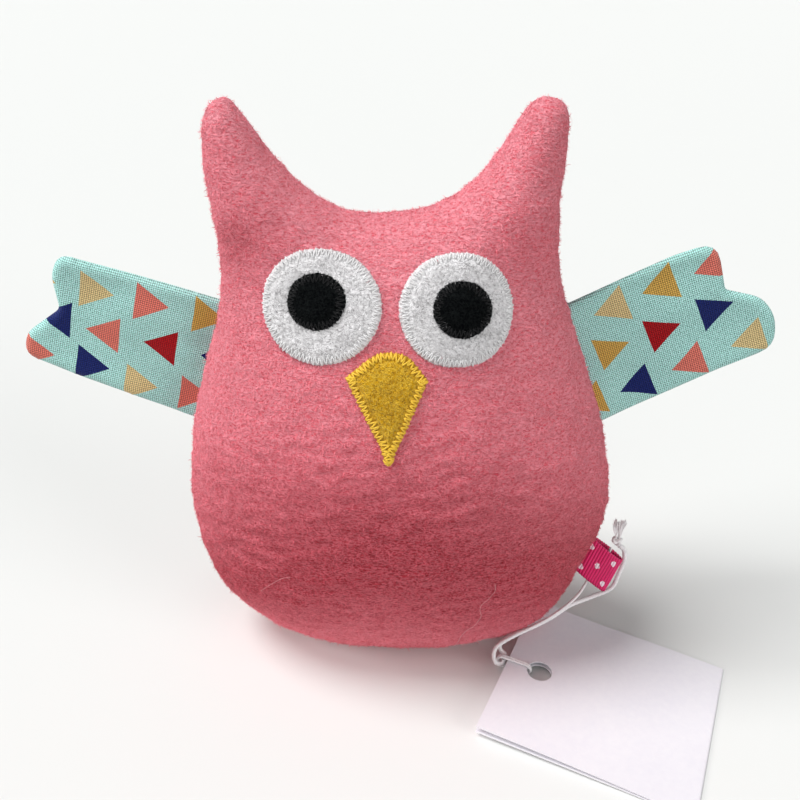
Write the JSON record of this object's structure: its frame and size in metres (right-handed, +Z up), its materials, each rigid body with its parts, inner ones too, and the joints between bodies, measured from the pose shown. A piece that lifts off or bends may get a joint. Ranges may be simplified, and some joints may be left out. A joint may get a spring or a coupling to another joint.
{
  "type": "plush owl",
  "caption": "Small stuffed wool owl with two pointed ears, felt eyes and beak, flat cotton wings that flap, a ribbon tab in the side seam and a folded card tag on a string",
  "frame": {"origin": "on the flat under the body, 2 mm in front of the seam's plane, midway between the body's sides", "axes": "+Z up, the owl faces -Y, +X to the right of somebody who looks at its face and along the wings"},
  "size_m": [0.1641, 0.0817, 0.131],
  "materials": {
    "pink_wool": "brushed pink wool felt",
    "filling": "white polyester fibre filling",
    "white_felt": "white wool felt",
    "black_felt": "black wool felt",
    "mustard_felt": "mustard wool felt",
    "printed_cotton": "aqua plain-weave cotton with a triangle print",
    "ribbon": "hot pink ribbed ribbon with white dots",
    "string": "white two-ply cotton string",
    "card": "smooth white card"
  },
  "bodies": {
    "body": {"front_panel": "pink_wool", "back_panel": "pink_wool", "stuffing": "filling", "left_eye": "white_felt", "left_pupil": "black_felt", "right_eye": "white_felt", "right_pupil": "black_felt", "beak": "mustard_felt", "ribbon_tab": "ribbon", "tag_string": "string", "string_knot": "string"},
    "left_wing": {"left_wing_front": "printed_cotton", "left_wing_back": "printed_cotton"},
    "right_wing": {"right_wing_front": "printed_cotton", "right_wing_back": "printed_cotton"},
    "tag": {"string_hitch": "string", "swing_tag": "card"}
  },
  "joints": [
    {"name": "left_wing_flap", "type": "hinge", "parent": "body", "child": "left_wing", "pos_m": [-0.04888, 0.00511, 0.05936], "axis": [0.2588, 0.0506, 0.9646], "range_deg": [-75, 75], "stiffness_Nm_per_rad": 0.004},
    {"name": "right_wing_flap", "type": "hinge", "parent": "body", "child": "right_wing", "pos_m": [0.04801, 0.00522, 0.06139], "axis": [0.3746, -0.0485, -0.9259], "range_deg": [-75, 75], "stiffness_Nm_per_rad": 0.004},
    {"name": "tag_lift", "type": "hinge", "parent": "body", "child": "tag", "pos_m": [0.02718, -0.01121, 0.0019], "axis": [-0.4067, -0.9135, 0], "range_deg": [0, 25]}
  ]
}
